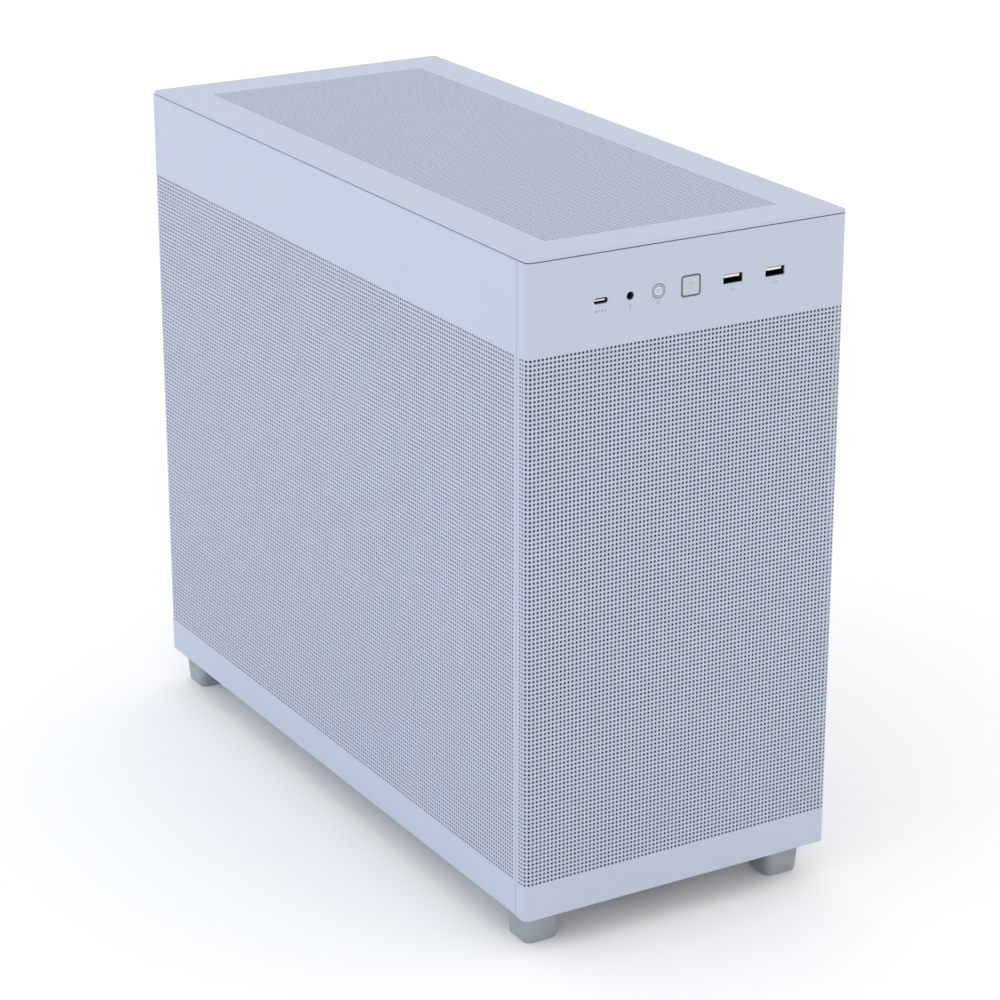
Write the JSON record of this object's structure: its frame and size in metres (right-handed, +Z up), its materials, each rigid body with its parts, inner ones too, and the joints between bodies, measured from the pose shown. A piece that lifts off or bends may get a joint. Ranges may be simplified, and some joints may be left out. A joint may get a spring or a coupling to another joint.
{
  "type": "desktop computer tower",
  "caption": "Upright desktop computer tower with perforated sheet-steel panels that pull off, front ports and buttons, and the computer parts inside.",
  "frame": {"origin": "middle of the footprint, on the surface that the four feet stand on", "axes": "+Z up, +X to the right seen from the front, front face towards -Y"},
  "size_m": [0.205, 0.46, 0.405],
  "materials": {
    "panel_paint": "fine satin powder coat, pale bluish white",
    "chassis_paint": "satin powder coat, white",
    "foot": "smoky translucent elastomer",
    "filter": "matt frame with fine mesh",
    "port_shell": "plated steel",
    "black_plastic": "moulded, matt",
    "bezel": "satin grey",
    "button_cap": "satin, matched to the front sheet",
    "circuit_board": "solder mask, slightly glossy",
    "heat_spreader": "anodised, satin",
    "bare_aluminium": "bare sheet fins",
    "bare_steel": "zinc plated",
    "supply_steel": "black powder coat",
    "fan_plastic": "moulded, satin",
    "cable": "sleeved, matt"
  },
  "bodies": {
    "chassis": {"rear_panel": "chassis_paint", "inlet_plate": "chassis_paint", "front_frame": "chassis_paint", "floor_pan": "chassis_paint", "top_frame": "chassis_paint", "motherboard_tray": "chassis_paint", "port_bracket": "chassis_paint", "supply_bracket": "chassis_paint", "slot_cover_1": "chassis_paint", "slot_cover_2": "chassis_paint", "slot_cover_3": "chassis_paint", "slot_cover_4": "chassis_paint", "slot_clamp": "chassis_paint", "foot_front_left": "foot", "foot_front_right": "foot", "foot_rear_left": "foot", "foot_rear_right": "foot", "usb_c_port": "port_shell", "usb_a_port_1": "port_shell", "usb_a_port_2": "port_shell", "audio_jack": "black_plastic", "power_bezel": "bezel", "reset_bezel": "bezel", "port_board": "circuit_board", "motherboard": "circuit_board", "m2_drive": "circuit_board", "memory_stick_1": "heat_spreader", "memory_stick_2": "heat_spreader", "cpu_cooler": "bare_aluminium", "cpu_fan_frame": "fan_plastic", "rear_port_block": "port_shell", "io_shield": "bare_steel", "rear_fan_frame": "fan_plastic", "thumb_screw_1": "bare_steel", "thumb_screw_2": "bare_steel", "power_supply": "supply_steel", "supply_socket": "black_plastic", "switch_frame": "black_plastic", "rear_inlet": "black_plastic", "mains_plug": "black_plastic", "mains_lead": "cable", "atx_plug": "black_plastic", "atx_cable": "cable", "cpu_power_plug": "black_plastic", "cpu_power_cable": "cable", "front_panel_plug": "black_plastic", "front_panel_cable": "cable", "rear_fan_lead": "cable", "cpu_fan_lead": "cable"},
    "front_panel": {"front_panel": "panel_paint"},
    "left_panel": {"left_panel": "panel_paint"},
    "right_panel": {"right_panel": "panel_paint"},
    "top_panel": {"top_panel": "panel_paint"},
    "bottom_filter": {"bottom_filter": "filter"},
    "power_button": {"power_button": "button_cap"},
    "reset_button": {"reset_button": "button_cap"},
    "rear_fan_rotor": {"rear_fan_rotor": "fan_plastic"},
    "cpu_fan_rotor": {"cpu_fan_rotor": "fan_plastic"},
    "supply_fan_rotor": {"supply_fan_rotor": "fan_plastic"},
    "supply_switch": {"supply_switch": "black_plastic"}
  },
  "joints": [
    {"name": "front_panel_pull", "type": "slide", "parent": "chassis", "child": "front_panel", "axis": [0, -1, 0], "range_m": [0, 0.06]},
    {"name": "left_panel_pull", "type": "slide", "parent": "chassis", "child": "left_panel", "axis": [-1, 0, 0], "range_m": [0, 0.06]},
    {"name": "right_panel_pull", "type": "slide", "parent": "chassis", "child": "right_panel", "axis": [1, 0, 0], "range_m": [0, 0.06]},
    {"name": "top_panel_lift", "type": "slide", "parent": "chassis", "child": "top_panel", "axis": [0, 0, 1], "range_m": [0, 0.06]},
    {"name": "filter_slide", "type": "slide", "parent": "chassis", "child": "bottom_filter", "axis": [0, -1, 0], "range_m": [0, 0.27]},
    {"name": "power_press", "type": "slide", "parent": "chassis", "child": "power_button", "axis": [0, 1, 0], "range_m": [0, 0.0015], "stiffness_N_per_m": 1500},
    {"name": "reset_press", "type": "slide", "parent": "chassis", "child": "reset_button", "axis": [0, 1, 0], "range_m": [0, 0.0012], "stiffness_N_per_m": 1200},
    {"name": "rear_fan_spin", "type": "hinge", "parent": "chassis", "child": "rear_fan_rotor", "pos_m": [-0.0315, 0.2145, 0.315], "axis": [0, 1, 0], "continuous": true},
    {"name": "cpu_fan_spin", "type": "hinge", "parent": "chassis", "child": "cpu_fan_rotor", "pos_m": [-0.017, 0.0957, 0.305], "axis": [0, 1, 0], "continuous": true},
    {"name": "supply_fan_spin", "type": "hinge", "parent": "chassis", "child": "supply_fan_rotor", "pos_m": [0, -0.193, 0.25], "axis": [0, 1, 0], "continuous": true},
    {"name": "supply_switch_rock", "type": "hinge", "parent": "chassis", "child": "supply_switch", "pos_m": [0.006, -0.15, 0.1825], "axis": [0, 1, 0], "range_deg": [-16, 0]}
  ]
}
